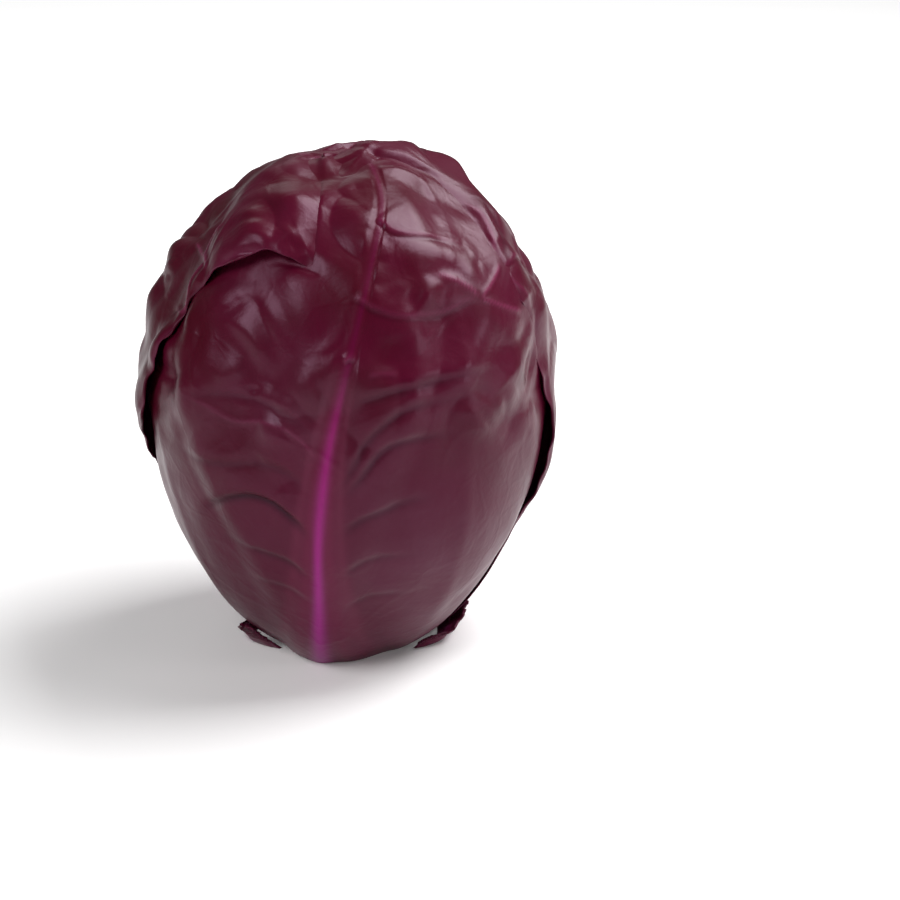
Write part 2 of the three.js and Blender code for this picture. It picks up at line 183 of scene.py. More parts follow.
def waves(d, wavelength, seed, count=28):
    """Smooth noise on the head, about -1 to 1: waves of one length in every direction."""
    random = np.random.default_rng(seed)
    across = unit(random.normal(size=(count, 3)))
    turns = 2 * np.pi * MEAN_RADIUS / (wavelength * random.uniform(0.75, 1.35, count))
    phase = random.uniform(0, 2 * np.pi, count)
    return np.sin((d @ across.T) * turns + phase).sum(-1) * (1.4 / np.sqrt(count))


def crumple(d):
    """Dents and soft folds that all the layers share, stronger on the upper half."""
    broad = 0.8 * waves(d, 50, 3) + 0.5 * waves(d, 26, 5)
    fold = np.exp(-((waves(d, 44, 11) / 0.16) ** 2)) * smoothstep(waves(d, 60, 12), -0.2, 0.7)
    return (broad + 0.35 * fold) * (0.3 + 0.7 * smoothstep(d[..., 2], -0.4, 0.3)) * (1 - 0.7 * footness(d))


def pillows(d):
    """Bulges between fine valleys, all outwards, high on the upper half and low on the lower one."""
    large = np.abs(waves(d, 38, 20)) * smoothstep(waves(d, 70, 21), -0.9, 0.6)
    small = np.abs(waves(d, 18, 22)) * smoothstep(waves(d, 50, 23), 0.1, 0.9)
    calm = np.clip(bumps_seen(d, CALM_PLACES), 0, 1) + footness(d)
    return (1.1 * large + 0.45 * small) * (0.15 + 0.85 * smoothstep(d[..., 2], -0.35, 0.2)) * (1 - calm)


# Camera, and places seen through it.
def camera_axes():
    """Where the camera stands and what it points at: far enough aside to see the head's middle there."""
    tilt = np.radians(CAMERA_ELEVATION)
    back = np.array([0, -np.cos(tilt), np.sin(tilt)])
    up = np.array([0, np.sin(tilt), np.cos(tilt)])
    px_per_mm = LENS_PX / CAMERA_DISTANCE
    middle = np.array([0, 0, RING_HEIGHT])
    eye = middle + back * CAMERA_DISTANCE
    across = np.array([1.0, 0, 0]) * (PHOTO_PX / 2 - MIDDLE_SEEN[0]) / px_per_mm
    target = middle + across - up * (PHOTO_PX / 2 - MIDDLE_SEEN[1]) / px_per_mm
    return eye, target


def seen_through(eye, target):
    """The camera's own axes: ahead, to the right and up."""
    ahead = unit(target - eye)
    right = unit(np.cross(ahead, [0, 0, 1.0]))
    return ahead, right, np.cross(right, ahead)


def on_head(pixels):
    """Directions from the middle of the head to points of its skin seen at pixels of the photograph."""
    eye, target = camera_axes()
    ahead, right, up = seen_through(eye, target)
    pixels = np.asarray(pixels, float)
    x, y = (pixels[:, 0:1] - PHOTO_PX / 2) / LENS_PX, (PHOTO_PX / 2 - pixels[:, 1:2]) / LENS_PX
    ray = unit(ahead + x * right + y * up)
    start = eye - np.array([0, 0, RING_HEIGHT])
    nearest = -(ray @ start)
    low, high = nearest - SEARCH, nearest
    for _ in range(HALVINGS):
        half = (low + high) / 2
        point = start + ray * half[:, None]
        outside = np.linalg.norm(point, axis=-1) > outline(unit(point)) + SKIN
        low, high = np.where(outside, half, low), np.where(outside, high, half)
    return unit(start + ray * high[:, None])


class Curve:
    """A centripetal Catmull-Rom curve through points."""

    def __init__(self, points):
        self.points = np.asarray(points, float)
        before = 2 * self.points[0] - self.points[1]
        after = 2 * self.points[-1] - self.points[-2]
        self.padded = np.vstack([before, self.points, after])

    def at(self, t):
        """The point at t from 0 to 1: a cubic in each span, its slopes weighed by the gaps beside it."""
        spans = len(self.points) - 1
        place = np.clip(t, 0, 1) * spans
        i = np.minimum(place.astype(int), spans - 1)
        w = (place - i)[..., None]
        p0, p1, p2, p3 = (self.padded[i + k] for k in range(4))
        gap0, gap1, gap2 = (
            np.sqrt(np.linalg.norm(b - a, axis=-1, keepdims=True)) for a, b in ((p0, p1), (p1, p2), (p2, p3))
        )
        slope1 = gap1 * ((p1 - p0) / gap0 - (p2 - p0) / (gap0 + gap1) + (p2 - p1) / gap1)
        slope2 = gap1 * ((p2 - p1) / gap1 - (p3 - p1) / (gap1 + gap2) + (p3 - p2) / gap2)
        square = -3 * p1 + 3 * p2 - 2 * slope1 - slope2
        cube = 2 * p1 - 2 * p2 + slope1 + slope2
        return p1 + w * (slope1 + w * (square + w * cube))

    def tangent(self, t):
        """The unit difference of two close points."""
        step = 1e-4
        return unit(self.at(np.minimum(t + step, 1)) - self.at(np.maximum(t - step, 0)))


class Route:
    """A path on the head, and how far from it a direction lies."""

    def __init__(self, curve, samples):
        self.path = unit(curve.at(np.linspace(0, 1, samples)))
        self.along = unit(np.gradient(self.path, axis=0))
        self.above = unit([0, 0, 1.0] - self.along * self.along[:, 2:] - self.path * self.path[:, 2:])
        self.middle = unit(self.path.mean(axis=0))
        self.half = angle_between(self.middle, self.path).max() * MEAN_RADIUS

    def near(self, d, width):
        """Whether a direction may lie within a width of the path: inside the circle round all of it."""
        return d @ self.middle > np.cos(np.minimum((self.half + width) / MEAN_RADIUS, np.pi))

    def reach(self, d):
        """Distance from the path in millimetres, above it positive, and the place along it."""
        nearest = (d @ self.path.T).argmax(-1)
        offset = (d - self.path[nearest]) * MEAN_RADIUS
        along = (offset * self.along[nearest]).sum(-1)
        between = (nearest > 0) & (nearest < len(self.path) - 1)
        square = (offset * offset).sum(-1) - np.where(between, along * along, 0)
        side = np.sign((offset * self.above[nearest]).sum(-1))
        return side * np.sqrt(np.maximum(square, 0)), nearest / (len(self.path) - 1)


class Stroke:
    """A rib, fold or crease along a path: a ridge with its own slope on each side, and a groove below."""

    def __init__(self, path, height, above, below, groove=0.0, pale=0.0, start=0.3, end=0.4):
        self.route = Route(Curve(path), 12 * len(path))
        self.height, self.above, self.below = height, above, below
        self.groove, self.pale, self.start, self.end = groove, pale, start, end

    def add_to(self, d, relief):
        """Adds a ridge of two half bells, a narrower bell as its groove, a pale crest of vein colour and
        painted glint, and a dark foot of painted shade.
        """
        near = self.route.near(d, 3 * max(self.above, self.below))
        away, along = self.route.reach(d[near])
        strength = smoothstep(along, -0.02, self.start) * (1 - smoothstep(along, 1 - self.end, 1.02))
        ridge = np.exp(-((away / np.where(away > 0, self.above, self.below)) ** 2))
        groove = self.groove * np.exp(-(((away + 1.5 * self.below) / (0.65 * self.below)) ** 2))
        relief["height"][near] += strength * (self.height * ridge - groove)
        # The pale crest is vein colour and partly a painted glint along the crease.
        crest = self.pale * strength * np.exp(-((away / 0.7) ** 2))
        relief["vein"][near] = np.maximum(relief["vein"][near], crest)
        # Painted shade: the groove darkens the colour where a shadow falls below the rib.
        relief["crevice"][near] = np.maximum(relief["crevice"][near], strength * groove / 0.6)


def rib(path, height=0.9, groove=0.4):
    """A side rib: a long slope above it, a short one below it and a groove at its foot."""
    return Stroke(path, height, 6.5, 2.5, groove)


def fold(path, height=1.0, above=3.5, below=3.5):
    """A soft fold without a groove."""
    return Stroke(path, height, above, below)


def lip(path, height=0.7, above=6.0, below=1.1):
    """A crease that falls off steeply below, with a pale edge that is partly a painted glint."""
    return Stroke(path, height, above, below, 0.25 * height, 0.4, 0.15, 0.3)


def vein(path, height=0.3, pale=0.8):
    """A fine pale vein, whose pale crest is partly a painted glint."""
    return Stroke(path, height, 1.1, 1.0, 0.0, pale, 0.15, 0.3)


class Leaf:
    """Stations from base to tip hold the left margin, the midrib and the right margin."""

    def __init__(
        self,
        name,
        stations,
        lifts=(),
        pressed=(),
        ribs=1.0,
        slide=BASE_SLIDE,
        strokes=(),
        bumps=(),
        rib_reach=(0.85, 0.85),
    ):
        self.name, self.ribs, self.slide = name, ribs, slide
        self.lifts, self.pressed, self.bumps = lifts, pressed, bumps
        places = np.array(stations, float)
        self.left, self.midrib, self.right = (
            Curve(direction(places[:, k, 0], places[:, k, 1])) for k in range(3)
        )
        self.under, self.over = [], []
        self.strokes = list(strokes)
        self.spine = Route(self.midrib, 101)
        self.middle = self.at(np.array([0.5]), np.array([0.0]))[0]
        self.across = unit(np.cross(self.midrib.tangent(np.array([0.5]))[0], self.middle))
        self.upwards = unit(np.cross(self.middle, self.across))
        self.tabulate(self.flatten(self.ring()))
        self.add_side_ribs(rib_reach)

    def at(self, t, s):
        """The direction at t, from 0 at the base to 1 at the tip, and s, from -1 at the left margin to 1.

        Each side is an arc from the midrib to the margin, bent towards the tip as a side rib is.
        """
        start = unit(self.midrib.at(t))
        edge = unit(np.where((s < 0)[..., None], self.left.at(t), self.right.at(t)))
        along = self.midrib.tangent(np.clip(t, 0.01, 0.99))
        bend = SIDE_RIB_BEND * smoothstep(t, 0, 0.25) * (1 - 0.6 * smoothstep(t, 0.7, 1))
        lift = bend * angle_between(start, edge)
        turn = unit(slerp(start, edge, np.full(t.shape, 0.45)) + along * lift[..., None])
        share = np.abs(s)
        return unit(slerp(slerp(start, turn, share), slerp(turn, edge, share), share))

    def ring(self):
        """Directions once round the margin."""
        u = np.arange(30) / 30
        one = np.ones_like(u)
        t = np.concatenate([u, one, 1 - u, 0 * u])
        s = np.concatenate([one, 1 - 2 * u, -one, 2 * u - 1])
        return self.at(t, s)

    def add_side_ribs(self, reaches):
        """Adds side ribs along rows of the grid, each out to a share of the way to its margin."""
        for side, reach in zip((-1, 1), reaches):
            for place in SIDE_RIB_PLACES if reach else ():
                path = self.at(np.full(9, place), side * np.linspace(0.015, reach, 9))
                self.strokes.append(rib(path, 0.9 * self.ribs, 0.4 * self.ribs))

    def flatten(self, d):
        """Places in a plane: each lies as far from the leaf's middle, and the same way, as on the head."""
        angle = angle_between(self.middle, d)
        flat = np.stack([d @ self.across, d @ self.upwards], axis=-1)
        return unit(flat) * (angle * MEAN_RADIUS)[..., None]

    def tabulate(self, polygon):
        """Millimetres inside the margin, below 0 outside it, for a table of places in the flat plane."""
        self.places = np.arange(-np.pi * MEAN_RADIUS, np.pi * MEAN_RADIUS + TABLE_STEP, TABLE_STEP)
        x, y = np.meshgrid(self.places, self.places, indexing="ij")
        nearest = np.full(x.shape, np.inf)
        within = np.zeros(x.shape, bool)
        for a, b in zip(polygon, np.roll(polygon, -1, axis=0)):
            edge = b - a
            share = np.clip(((x - a[0]) * edge[0] + (y - a[1]) * edge[1]) / max(edge @ edge, 1e-9), 0, 1)
            nearest = np.minimum(nearest, np.hypot(x - a[0] - share * edge[0], y - a[1] - share * edge[1]))
            if a[1] != b[1]:
                crosses = (a[1] > y) != (b[1] > y)
                within ^= crosses & (x < a[0] + (y - a[1]) / (b[1] - a[1]) * edge[0])
        self.table = np.where(within, nearest, -nearest)

    def inside(self, d):
        """Millimetres inside the margin: the table, smoothed by a quadratic B-spline between its places."""
        place = (self.flatten(d) - self.places[0]) / TABLE_STEP
        cell = np.clip(np.rint(place).astype(int), 1, len(self.places) - 2)
        off = place - cell
        weights = (0.5 - off) ** 2 / 2, 0.75 - off * off, (0.5 + off) ** 2 / 2
        total = 0
        for i, j in product(range(3), range(3)):
            corner = self.table[cell[..., 0] + i - 1, cell[..., 1] + j - 1]
            total = total + weights[i][..., 0] * weights[j][..., 1] * corner
        return total

    def sinks(self, d, inside):
        """How far the pressed margin lies lower than the rest of the leaf would: its air, fading inwards."""
        return self.pressing(d) * (1 - smoothstep(np.abs(inside), 0, MARGIN_HUGS[1])) * (AIR + 0.1)

    def rib_size(self, t):
        """The midrib's sizes, which fall from base to tip with the square of the way left."""
        share = (1 - t) ** 2
        return {key: lerp(RIB_TIP[key], RIB_FOOT[key], share) for key in RIB_FOOT}

    def rib_height(self, t, distance):
        """The midrib: a low mound with a flat back and a keel along its middle."""
        size = self.rib_size(t)
        mound = 1 - smoothstep(distance, 0.35 * size["mound"], 1.05 * size["mound"])
        faint = smoothstep(t, 0.48, 0.62)
        keel = np.exp(-((distance / (size["keel"] * (1 + 1.5 * faint))) ** 2))
        return size["height"] * self.ribs * (1 - 0.65 * faint) * (0.55 * mound + 0.45 * keel)

    def rib_through(self, t, distance):
        """What the midrib adds to the leaves over it, softened."""
        size = self.rib_size(t)
        low = np.exp(-((distance / (size["mound"] * RIB_SHOWS_THROUGH)) ** 2))
        crest = np.exp(-((distance / (size["keel"] * RIB_SHOWS_THROUGH)) ** 2))
        return size["height"] * self.ribs * (0.55 * low + 0.45 * crest)

    def inner_face(self, d):
        """Distance of the inner face, and how far it could still sink onto the leaves under it."""
        foot = footness(d)
        air = lerp(AIR, FOOT_AIR, foot)
        draped = outline(d) + swell(d) + crumple(d) - lerp(LEAF_DEPTH, FOOT_DEPTH, foot) + self.lift(d)
        slack = air - HUGS_AT
        for leaf in self.under:
            inside = leaf.inside(d)
            distance, along = leaf.spine.reach(d)
            step = BLADE + air + leaf.rib_through(along, distance) - leaf.sinks(d, inside)
            draped = draped + smoothstep(inside, *DRAPE) * step
            slack = slack + (smoothstep(inside, *DRAPE) - smoothstep(inside, *CLOSE)) * step
        return draped, slack

    def pressing(self, d):
        """How far the margin is pressed onto the leaf below, 0 to 1."""
        most = np.zeros(d.shape[:-1])
        for place, reach in self.pressed:
            away = angle_between(direction(*place), d) / np.radians(reach)
            most = np.maximum(most, np.exp(-(away**4)))
        return most

    def covered(self, d, band=CLOSE):
        """0 where the leaf is bare and 1 where a leaf over it lies, turning over a band round its margin."""
        most = np.zeros(d.shape[:-1])
        for leaf in self.over:
            most = np.maximum(most, smoothstep(leaf.inside(d), *band))
        return most

    def lift(self, d):
        """How far a loose margin stands off: bells round their places, less at the rolled edge itself."""
        off = np.zeros(d.shape[:-1])
        for place, reach, height in self.lifts:
            away = angle_between(direction(*place), d) / np.radians(reach)
            off = off + height * np.exp(-away * away)
        if not self.lifts:
            return off
        from_margin = self.inside(d)
        rolled = 1 - 0.35 * np.exp(-np.maximum(from_margin, 0) / 3)
        loose = (1 - self.covered(d)) * (1 - self.pressing(d))
        return off * rolled * (1 - smoothstep(from_margin, *LIFT_FADES)) * loose

    def make_cut(self):
        """How far from straight down the faces meet the floor: a table by azimuth, found by halving."""
        self.cut_azimuths = np.arange(-180, 181, 4.0)
        self.cut_angles = []
        for thickness in (0, CUT_THICKNESS):
            low = np.full(self.cut_azimuths.shape, 2.0)
            high = np.full(self.cut_azimuths.shape, 40.0)
            for _ in range(18):
                half = (low + high) / 2
                d = direction(self.cut_azimuths, half - 90)
                below = (self.inner_face(d)[0] + thickness) * np.cos(np.radians(half)) > RING_HEIGHT
                low, high = np.where(below, half, low), np.where(below, high, half)
            self.cut_angles.append(low)

    def slide_to_floor(self, d, t, base, thickness):
        """Directions of a face whose first row lies on the floor: rows slide down, less and less far up."""
        share = 1 - smoothstep(t, 0, self.slide)
        azimuth = np.degrees(np.arctan2(d[..., 0], -d[..., 1]))
        thin, thick = (np.interp(azimuth, self.cut_azimuths, angles) for angles in self.cut_angles)
        wanted = lerp(thin, thick, thickness / CUT_THICKNESS)
        from_down = np.degrees(np.arccos(np.clip(-d, -1, 1)[..., 2]))
        base_down = np.degrees(np.arccos(np.clip(-base, -1, 1)[..., 2]))
        return direction(azimuth, from_down + (wanted - base_down) * share - 90)


# The leaves, from the inside outwards.
ELEVATIONS_OF_MIDRIB = [-78, -60, -42, -20, 4, 28, 50, 71, 88]
ELEVATIONS_OF_MARGIN = [-78, -58, -34, -6, 20, 42, 59, 72, 79]
HALF_SPREADS = [47, 50, 57, 70, 78, 82, 86, 94, 104]


def inner_wrapper(name, facing, spread, lean):
    """A leaf of the second layer: its midrib runs straight up, and it leans a little to one side."""
    stations = [
        [[facing - half * spread, margin - lean], [facing, middle], [facing + half * spread, margin + lean]]
        for half, margin, middle in zip(HALF_SPREADS, ELEVATIONS_OF_MARGIN, ELEVATIONS_OF_MIDRIB)
    ]
    for place in stations[0]:
        place[1] = ELEVATIONS_OF_MIDRIB[0]
    return Leaf(name, stations, ribs=0.5)


def stub(name, facing, half, top, lean):
    """The base of a trimmed leaf, which narrows and leans on its way up."""
    stations = []
    for i in range(4):
        elevation = lerp(ELEVATIONS_OF_MIDRIB[0], top, i / 3)
        left = [facing - half * (1 - 0.06 * i), elevation - i]
        right = [facing + half * (1 - 0.1 * i), elevation + i]
        stations.append([left, [facing + lean * i, elevation], right])
    return Leaf(name, stations, ribs=0.4, slide=2.0)


# What is seen on the leaves: points from the midrib outwards, then sizes in millimetres in the order
# that rib, fold, lip and vein take them.
RIBS_ON_FRONT = [
    (
        [(326, 500), (338, 479), (349, 460), (366, 434),
         (390, 413), (416, 400), (450, 394), (500, 390)],
        1.2, 0.35,
    ),
    ([(345, 420), (357, 396), (378, 389), (401, 383), (440, 373), (475, 365), (520, 357)], 1.6, 0.3),
    ([(331, 540), (345, 526), (362, 516), (386, 509), (416, 500), (450, 494)], 0.8, 0.35),
    ([(335, 500), (352, 480), (379, 450), (401, 438), (440, 432), (474, 430)], 0.9, 0.4),
    ([(331, 585), (351, 567), (379, 559), (431, 549)], 0.6, 0.25),
    ([(333, 628), (356, 613), (390, 603), (430, 598)], 0.4, 0.15),
    (
        [(318, 540), (304, 527), (288, 514), (268, 501),
         (245, 493), (220, 494), (196, 505), (184, 514)],
        1.4, 0.7,
    ),
    ([(318, 585), (303, 573), (285, 562), (262, 555), (238, 548), (205, 537)], 0.7, 0.35),
    ([(320, 615), (303, 603), (285, 594), (262, 588), (238, 582)], 0.4, 0.15),
    (
        [(316, 505), (298, 480), (277, 466), (252, 459),
         (226, 458), (201, 454), (183, 447), (164, 428)],
        0.8, 0.25,
    ),
    (
        [(325, 446), (308, 424), (284, 408), (262, 398),
         (244, 391), (216, 385), (186, 387), (163, 396)],
        0.8, 0.2,
    ),
]
FOLDS_ON_FRONT = [
    ([(286, 262), (292, 285), (300, 312), (314, 345)], 0.8, 6.0, 5.0),
    ([(214, 312), (236, 330), (255, 352), (272, 384)], 1.2, 4.0, 4.0),
    ([(186, 306), (188, 330), (184, 362)], 0.9, 3.5, 3.5),
    ([(212, 384), (226, 372), (242, 366)], 0.8, 4.5, 2.5),
    ([(396, 252), (430, 247), (468, 262)], 0.6, 7.0, 6.0),
    ([(365, 340), (395, 331), (440, 326), (490, 318)], 0.7, 6.0, 4.0),
]
LIPS_ON_FRONT = [
    ([(376, 217), (384, 222), (392, 228), (410, 231), (442, 229), (474, 235)], 0.7, 9.0, 1.1),
    (
        [(352, 294), (363, 299), (375, 306), (401, 313),
         (426, 311), (454, 305), (473, 296), (486, 293)],
        0.6, 5.0, 1.1,
    ),
    ([(368, 376), (380, 374), (393, 374), (402, 375)], 0.4, 3.0, 1.0),
    ([(343, 361), (350, 357), (357, 361)], 0.7, 1.6, 1.0),
]
VEINS_ON_FRONT = [
    ([(487, 293), (497, 281), (505, 265), (507, 250)], 0.4),
    ([(487, 293), (497, 298), (521, 305), (540, 309)], 0.4),
    ([(486, 292), (473, 281), (454, 272), (436, 268)], 0.3),
    (
        [(318, 470), (303, 447), (283, 432), (255, 424),
         (231, 424), (214, 414), (198, 401), (185, 393)],
        0.25, 0.35,
    ),
]
VEINS_ON_BACK_LEFT = [
    ([(227, 225), (213, 236), (204, 252), (205, 259), (208, 272)], 0.6),
    ([(205, 258), (192, 276), (186, 291), (178, 309), (166, 301)], 0.7),
    ([(194, 241), (199, 252), (205, 258)], 0.5),
]
FOLDS_ON_BACK_LEFT = [
    ([(309, 246), (290, 236), (268, 231), (246, 234), (228, 246)], 1.0, 2.6, 2.6),
    ([(231, 222), (255, 220), (280, 226), (300, 232)], 0.7, 4.0, 2.5),
    ([(234, 198), (262, 203), (300, 211)], 0.6, 5.0, 3.0),
    ([(318, 262), (318, 250), (312, 238)], 0.7, 2.4, 2.4),
    ([(250, 176), (280, 178), (320, 190)], 0.6, 5.0, 3.5),
]
LIPS_ON_BACK_RIGHT = [
    ([(466, 190), (483, 207), (495, 226), (507, 258), (521, 279), (533, 293), (545, 324)], 0.9, 2.0, 4.0),
    ([(509, 262), (520, 252), (531, 262)], 0.5, 3.0, 1.2),
]

# Bumps and dents seen: centre, radii along and across in pixels, turn in degrees and height.
BUMPS_ON_FRONT = [
    ((448, 287), (36, 19), -6, 2.2),
    ((417, 291), (9, 15), 20, -1.2),
    ((253, 462), (6, 4), 30, -0.7),
    ((246, 391), (6, 4), 0, -0.8),
    ((296, 296), (30, 42), 10, 1.2),
    ((214, 350), (20, 30), 0, 0.9),
    ((425, 345), (30, 12), -10, 0.7),
    ((423, 250), (44, 17), 0, 0.9),
]
BUMPS_ON_BACK_LEFT = [
    ((222, 252), (12, 20), 20, 1.3),
    ((196, 285), (8, 16), 25, 1.0),
    ((180, 262), (12, 22), 35, 1.0),
    ((268, 240), (26, 8), 0, 0.8),
    ((280, 195), (30, 14), 10, 0.8),
]
CALM_PLACES = [((425, 225), (62, 50), 0, 0.85), ((425, 350), (60, 26), 0, 0.6)]  # few pillows there


def seen(rows, kind):
    """The strokes of one kind that lie along rows of points in the photograph."""
    return [kind(on_head(points), *sizes) for points, *sizes in rows]


front_leaf = Leaf(
    "front_leaf",
    [
        [[-56, -78], [-20, -78], [42, -78]],
        [[-67, -60], [-14, -61], [56, -60]],
        [[-84, -34], [-11, -42], [72, -34]],
        [[-93, -8], [-9, -22], [86, -6]],
        [[-97, 16], [-6, -2], [93, 18]],
        [[-101, 38], [-1, 19], [97, 40]],
        [[-108, 57], [6, 41], [103, 57]],
        [[-124, 72], [18, 63], [118, 70]],
        [[-150, 78], [70, 86], [150, 76]],
    ],
    strokes=seen(RIBS_ON_FRONT, rib)
    + seen(FOLDS_ON_FRONT, fold)
    + seen(LIPS_ON_FRONT, lip)
    + seen(VEINS_ON_FRONT, vein),
    bumps=BUMPS_ON_FRONT,
    rib_reach=(0, 0),
)
back_left_leaf = Leaf(
    "back_left_leaf",
    [
        [[-160, -78], [-121, -78], [-82, -78]],
        [[-176, -60], [-126, -60], [-88, -58]],
        [[-200, -38], [-131, -42], [-98, -38]],
        [[-214, -10], [-135, -20], [-86, -18]],
        [[-219, 16], [-137, 4], [-67, 4]],
        [[-222, 40], [-136, 28], [-60, 22]],
        [[-226, 58], [-132, 50], [-50, 36.5]],
        [[-236, 72], [-118, 70], [-29, 45.5]],
        [[-268, 82], [-40, 82], [-11, 43.5]],
    ],
    lifts=[((-33, 46), 11, 5.2), ((-78, -10), 15, 2.4), ((-70, 9), 14, 2.0)],
    pressed=[((-9, 45), 7), ((-7, 51), 10), ((-5, 61), 15), ((-12, 72), 18), ((-30, 82), 18)],
    strokes=seen(VEINS_ON_BACK_LEFT, vein) + seen(FOLDS_ON_BACK_LEFT, fold),
    bumps=BUMPS_ON_BACK_LEFT,
    rib_reach=(0.85, 0),
)
back_right_leaf = Leaf(
    "back_right_leaf",
    [
        [[72, -78], [113, -78], [150, -78]],
        [[74, -58], [118, -60], [166, -60]],
        [[76, -36], [122, -42], [184, -36]],
        [[74, -12], [126, -20], [198, -8]],
        [[70, 12], [128, 4], [204, 18]],
        [[61, 32], [130, 28], [207, 40]],
        [[66, 52], [133, 50], [211, 58]],
        [[66, 67], [144, 71], [222, 72]],
        [[-10, 74], [-80, 84], [-110, 76]],
    ],
    lifts=[((62, 36), 12, 1.6), ((76, -16), 16, 2.0), ((206, 20), 18, 3.0)],
    pressed=[
        ((-10, 74), 18), ((-60, 82), 22), ((-100, 76), 18), ((45, 70), 18),
        ((64, 55), 15), ((64, 37), 14), ((68, 20), 14),
    ],
    strokes=seen(LIPS_ON_BACK_RIGHT, lip),
    rib_reach=(0.55, 0.85),
)
leaves = [
    inner_wrapper("inner_left_leaf", -65, 1, 2),
    inner_wrapper("inner_back_leaf", 180, 1.04, -2),
    inner_wrapper("inner_right_leaf", 33, 1, 1),
    front_leaf,
    back_left_leaf,
    back_right_leaf,
    stub("right_stub", 66, 23, -69, 2),
    stub("left_stub", -72, 20, -69.5, -2),
    stub("back_stub", 176, 22, -69.5, 2),
]
for i, leaf in enumerate(leaves):
    leaf.under = leaves[:i]
    leaf.over = leaves[i + 1 :]


def bumps_seen(d, bumps):
    """Soft ovals in the plane that the camera sees: bells whose power is 3, so they have flat tops."""
    eye, target = camera_axes()
    ahead, right, up = seen_through(eye, target)
    point = d * (outline(d) + SKIN)[..., None] + np.array([0, 0, RING_HEIGHT]) - eye
    depth = point @ ahead
    x = PHOTO_PX / 2 + LENS_PX * (point @ right) / depth
    y = PHOTO_PX / 2 - LENS_PX * (point @ up) / depth
    faces_camera = smoothstep(-(d @ ahead), 0.05, 0.3)
    height = np.zeros(d.shape[:-1])
    for (cx, cy), (long, short), turn, size in bumps:
        c, s = np.cos(np.radians(turn)), np.sin(np.radians(turn))
        along = ((x - cx) * c + (y - cy) * s) / long
        across = ((y - cy) * c - (x - cx) * s) / short
        height = height + size * np.exp(-((along**2 + across**2) ** 1.5))
    return height * faces_camera


def crinkle(t, s, from_margin):
    """Small outward ruffles along a margin, about 7 mm long: a product of two sine waves."""
    wave = np.sin(95 * t + 2 * np.sign(s)) * np.sin(41 * t + np.sign(s))
    return 1.3 * (0.5 + 0.5 * wave) * np.exp(-from_margin / 3.5) * smoothstep(t, 0.15, 0.3)


def torn(t, s):
    """Brings the top of a stub down by up to a quarter, unevenly, as a leaf tears."""
    return t * (1 - 0.13 * (1 + np.sin(5 * s + 1) * np.sin(17 * s)) * smoothstep(t, 0.2, 1))


def ragged(t, s, size=0.016):
    """Moves the margin in and out by three sine waves, within the outer parts of the leaf."""
    wave = np.sin(31 * t + np.sign(s)) + 0.5 * np.sin(67 * t + 2.3 * np.sign(s))
    fine = 0.1 * np.sin(151 * t + 1.1 * np.sign(s))
    return size * (wave + fine) * smoothstep(t, 0.04, 0.15) * np.abs(s) ** 8


